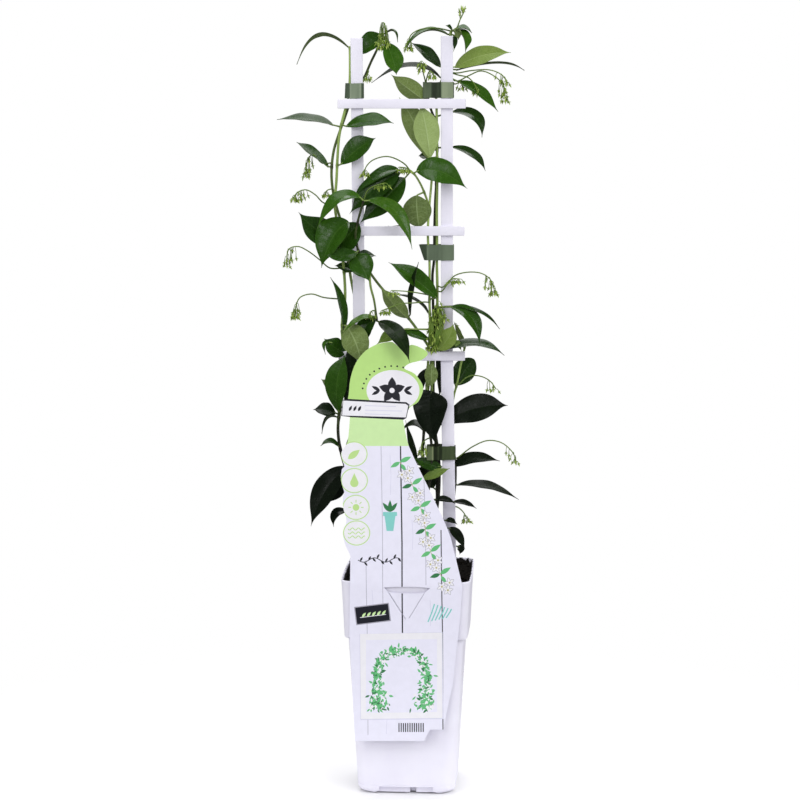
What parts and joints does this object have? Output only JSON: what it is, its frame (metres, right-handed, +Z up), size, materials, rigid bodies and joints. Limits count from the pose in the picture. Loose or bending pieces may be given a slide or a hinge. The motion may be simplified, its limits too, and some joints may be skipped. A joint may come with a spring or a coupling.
{
  "type": "potted star jasmine on a ladder trellis",
  "caption": "Slim evergreen climber tied to a white ladder trellis in a tall square pot of peat, with a die-cut plant label hung on the rim.",
  "frame": {"origin": "on the standing surface, under the middle of the whole plant's outline seen from above", "axes": "+Z up along the stakes, +X to the right as the ladder and label are faced, +Y away to the back; the ladder is in the XZ plane and the pot is turned 3.5 degrees about Z"},
  "size_m": [0.2454, 0.137, 0.7849],
  "materials": {
    "pot_plastic": "satin",
    "peat": "matte",
    "ladder_plastic": "satin",
    "tape": "gloss",
    "card": "gloss",
    "foliage": "satin"
  },
  "bodies": {
    "root": {"pot": "pot_plastic", "soil": "peat", "stake_left": "ladder_plastic", "stake_right": "ladder_plastic", "rung_top": "ladder_plastic", "rung_middle": "ladder_plastic", "rung_bottom": "ladder_plastic", "tie_left_top": "tape", "tie_right_top": "tape", "tie_right_middle": "tape", "tie_right_low": "tape", "label": "card", "vine_left_front": "foliage", "vine_left_back": "foliage", "vine_middle": "foliage", "vine_right_tall": "foliage", "vine_right_middle": "foliage", "vine_right_back": "foliage", "vine_right_outer": "foliage"}
  },
  "joints": []
}
